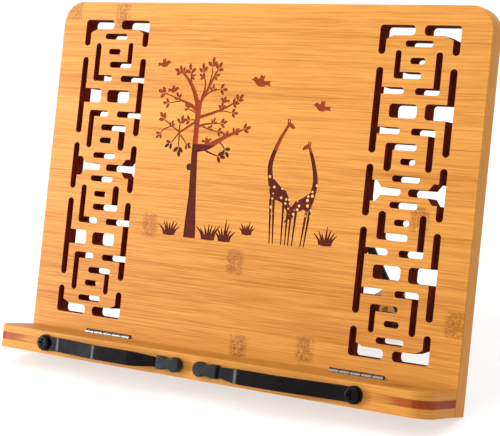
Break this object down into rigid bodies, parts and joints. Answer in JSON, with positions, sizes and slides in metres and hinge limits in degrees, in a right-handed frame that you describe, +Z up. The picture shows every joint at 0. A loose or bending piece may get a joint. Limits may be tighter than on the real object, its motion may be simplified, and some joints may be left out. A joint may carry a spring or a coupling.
{
  "type": "folding book and album stand",
  "caption": "Folding bamboo stand: leaning board with fretwork and tree engraving, hinged tray, turning spring clips, wire prop and notched rack.",
  "frame": {"origin": "on the surface the stand rests on, under the middle of its width and depth", "axes": "+Z up, +X to the reader's right, +Y away from the reader, behind the board"},
  "size_m": [0.34, 0.2196, 0.2394],
  "materials": {
    "bamboo": "clear satin lacquer over caramel bamboo",
    "steel": "plain plated steel",
    "black_metal": "gloss black lacquer on spring steel",
    "rubber": "matt black rubber"
  },
  "bodies": {
    "board": {"back_board": "bamboo", "prop_bracket_left": "black_metal", "prop_bracket_right": "black_metal", "prop_bracket_screws": "steel", "rack_hinge_board_screws": "steel", "rack_hinge_left_board_leaf": "steel", "rack_hinge_left_pin": "steel", "rack_hinge_right_board_leaf": "steel", "rack_hinge_right_pin": "steel", "tray_hinge_board_screws": "steel", "tray_hinge_left_board_leaf": "steel", "tray_hinge_left_pin": "steel", "tray_hinge_right_board_leaf": "steel", "tray_hinge_right_pin": "steel"},
    "tray": {"clip_left_bolt": "black_metal", "clip_left_washer": "black_metal", "clip_right_bolt": "black_metal", "clip_right_washer": "black_metal", "tray": "bamboo", "tray_hinge_left_tray_leaf": "steel", "tray_hinge_right_tray_leaf": "steel", "tray_hinge_tray_screws": "steel"},
    "clip_left": {"clip_left_arm": "black_metal", "clip_left_tip": "rubber"},
    "clip_right": {"clip_right_arm": "black_metal", "clip_right_tip": "rubber"},
    "prop": {"prop_rod": "black_metal", "prop_sleeve_left": "rubber", "prop_sleeve_right": "rubber"},
    "rack": {"rack_dowels": "bamboo", "rack_front_bar": "bamboo", "rack_hinge_left_rack_leaf": "steel", "rack_hinge_rack_screws": "steel", "rack_hinge_right_rack_leaf": "steel", "rack_rail_left": "bamboo", "rack_rail_right": "bamboo", "rack_rear_strip": "bamboo"}
  },
  "joints": [
    {"name": "tray_fold", "type": "hinge", "parent": "board", "child": "tray", "pos_m": [0, -0.06018, 0.01907], "axis": [-1, 0, 0], "range_deg": [0, 90]},
    {"name": "clip_left_turn", "type": "hinge", "parent": "tray", "child": "clip_left", "pos_m": [-0.122, -0.0987, 0.02301], "axis": [0, 0.9511, -0.309], "range_deg": [-100, 0]},
    {"name": "clip_right_turn", "type": "hinge", "parent": "tray", "child": "clip_right", "pos_m": [0.122, -0.0987, 0.02301], "axis": [0, -0.9511, 0.309], "range_deg": [-100, 0]},
    {"name": "prop_swing", "type": "hinge", "parent": "board", "child": "prop", "pos_m": [0, -0.00927, 0.11703], "axis": [1, 0, 0], "range_deg": [-43, 0]},
    {"name": "rack_fold", "type": "hinge", "parent": "board", "child": "rack", "pos_m": [0, -0.0444, 0.0212], "axis": [1, 0, 0], "range_deg": [0, 72]}
  ]
}
